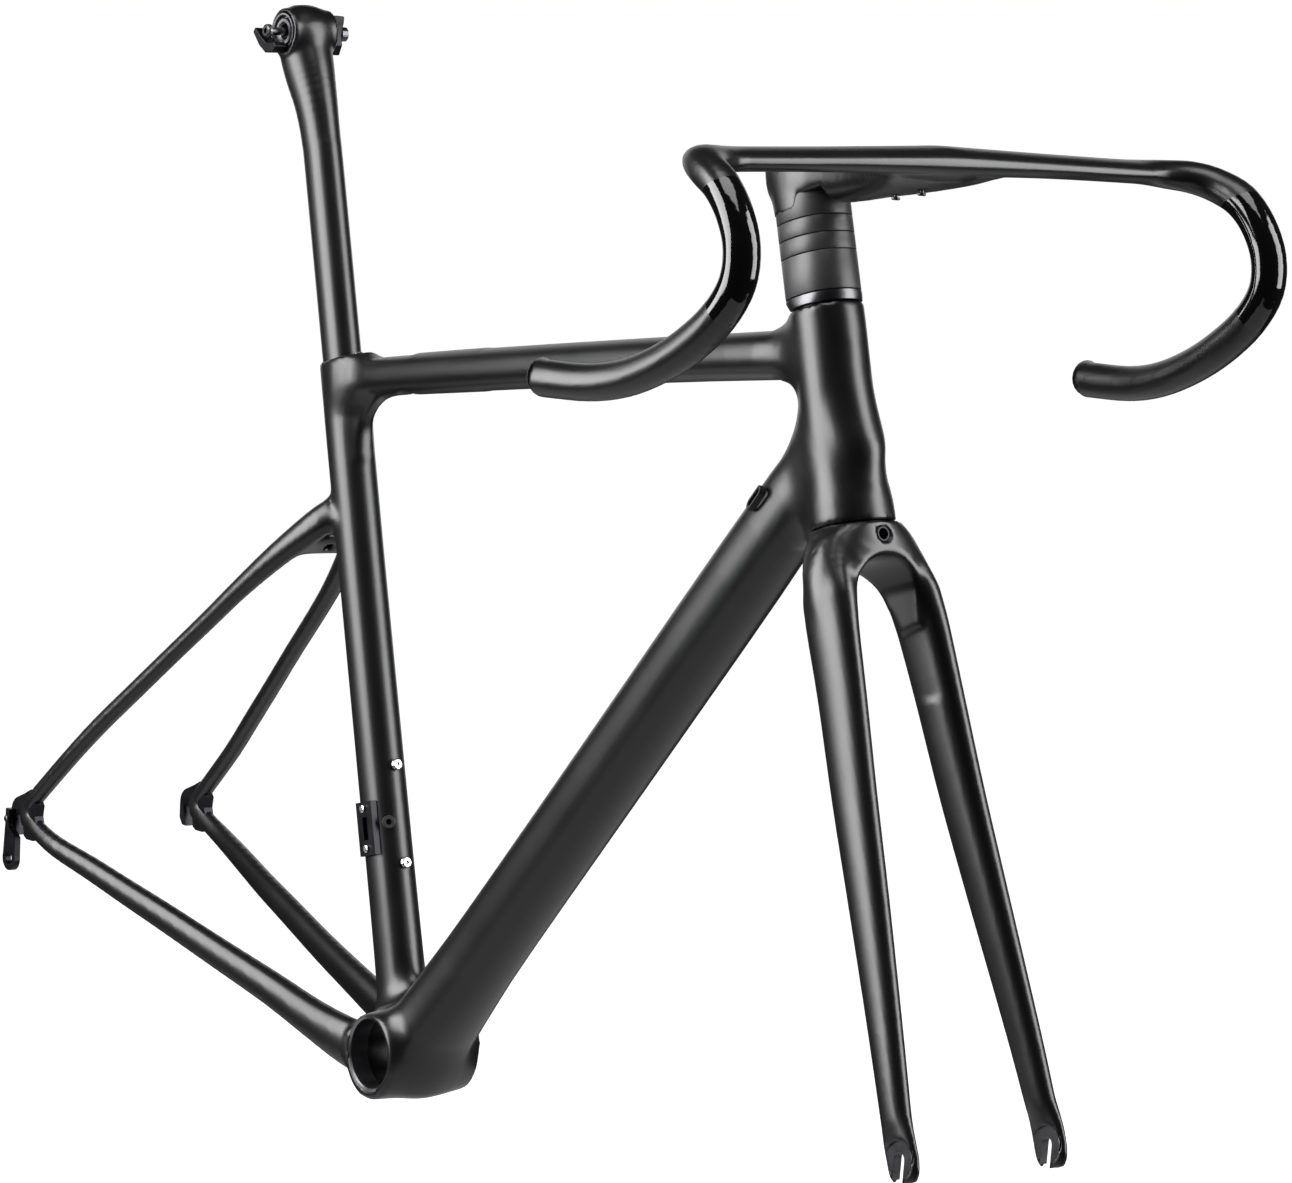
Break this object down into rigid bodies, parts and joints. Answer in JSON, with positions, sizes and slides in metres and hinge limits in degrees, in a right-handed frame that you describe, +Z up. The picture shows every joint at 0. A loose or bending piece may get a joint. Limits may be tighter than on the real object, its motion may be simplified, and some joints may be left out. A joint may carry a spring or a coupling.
{
  "type": "bicycle frameset",
  "caption": "Carbon road racing frameset: frame with a turning fork, one-piece aero handlebar and stem, and a sliding seatpost with an open saddle clamp.",
  "frame": {"origin": "centre of the bottom bracket shell, on the middle plane", "axes": "+X towards the front wheel, +Y to the rider's left along the bottom bracket axis, +Z up"},
  "size_m": [0.9947, 0.422, 0.687],
  "materials": {
    "carbon_moulding": "satin unidirectional carbon under a matt clear coat",
    "alloy_black": "black anodised, satin",
    "alloy_grey": "bare forged alloy, satin",
    "steel": "bright turned steel",
    "nylon_black": "moulded black, matt",
    "rubber_black": "matt"
  },
  "bodies": {
    "frame": {"bb_shell": "carbon_moulding", "cable_port_grommet": "rubber_black", "chainstay_left": "carbon_moulding", "chainstay_right": "carbon_moulding", "derailleur_hanger": "alloy_black", "down_tube": "carbon_moulding", "down_tube_bottle_bolt_lower": "steel", "down_tube_bottle_bolt_upper": "steel", "front_derailleur_mount": "alloy_black", "front_derailleur_rivet_lower": "steel", "front_derailleur_rivet_upper": "steel", "hanger_bolt": "steel", "head_tube": "carbon_moulding", "lower_bearing": "steel", "rear_dropout_left": "alloy_black", "rear_dropout_right": "alloy_black", "seat_clamp_bolt": "steel", "seat_clamp_wedge": "alloy_grey", "seat_tube": "carbon_moulding", "seat_tube_bottle_bolt_lower": "steel", "seat_tube_bottle_bolt_upper": "steel", "seat_tube_cable_port": "nylon_black", "seatstay_bridge": "carbon_moulding", "seatstay_left": "carbon_moulding", "seatstay_right": "carbon_moulding", "top_tube": "carbon_moulding", "upper_bearing": "steel"},
    "steering": {"bar_end_plug_left": "nylon_black", "bar_end_plug_right": "nylon_black", "compression_ring": "alloy_grey", "computer_mount_bolt_front": "steel", "computer_mount_bolt_rear": "steel", "crown_race": "steel", "expander_plug": "alloy_grey", "fork_crown": "carbon_moulding", "fork_dropout_left": "alloy_grey", "fork_dropout_right": "alloy_grey", "fork_leg_left": "carbon_moulding", "fork_leg_right": "carbon_moulding", "fork_steerer": "carbon_moulding", "handlebar_crossbar": "carbon_moulding", "handlebar_drop_left": "carbon_moulding", "handlebar_drop_right": "carbon_moulding", "headset_cover": "alloy_black", "spacer_lower": "nylon_black", "spacer_middle": "nylon_black", "spacer_tall": "nylon_black", "spacer_upper": "nylon_black", "stem": "carbon_moulding", "stem_clamp_bolt_lower": "steel", "stem_clamp_bolt_upper": "steel", "stem_top_cap": "nylon_black", "top_cap_bolt": "steel"},
    "seatpost": {"seatpost": "carbon_moulding"},
    "saddle_clamp": {"rail_clamp_left": "alloy_black", "rail_clamp_right": "alloy_black", "rail_cradle_left": "alloy_black", "rail_cradle_right": "alloy_black", "saddle_clamp_bolt": "steel", "saddle_clamp_nut": "steel"}
  },
  "joints": [
    {"name": "steering", "type": "hinge", "parent": "frame", "child": "steering", "pos_m": [0.40878, 0, 0.40699], "axis": [-0.3256, 0, 0.9455], "range_deg": [-70, 70]},
    {"name": "seatpost_height", "type": "slide", "parent": "frame", "child": "seatpost", "axis": [-0.3007, 0, 0.9537], "range_m": [-0.06, 0.04]},
    {"name": "saddle_tilt", "type": "hinge", "parent": "seatpost", "child": "saddle_clamp", "pos_m": [-0.217, 0, 0.64], "axis": [0, 1, 0], "range_deg": [-12, 12]}
  ]
}
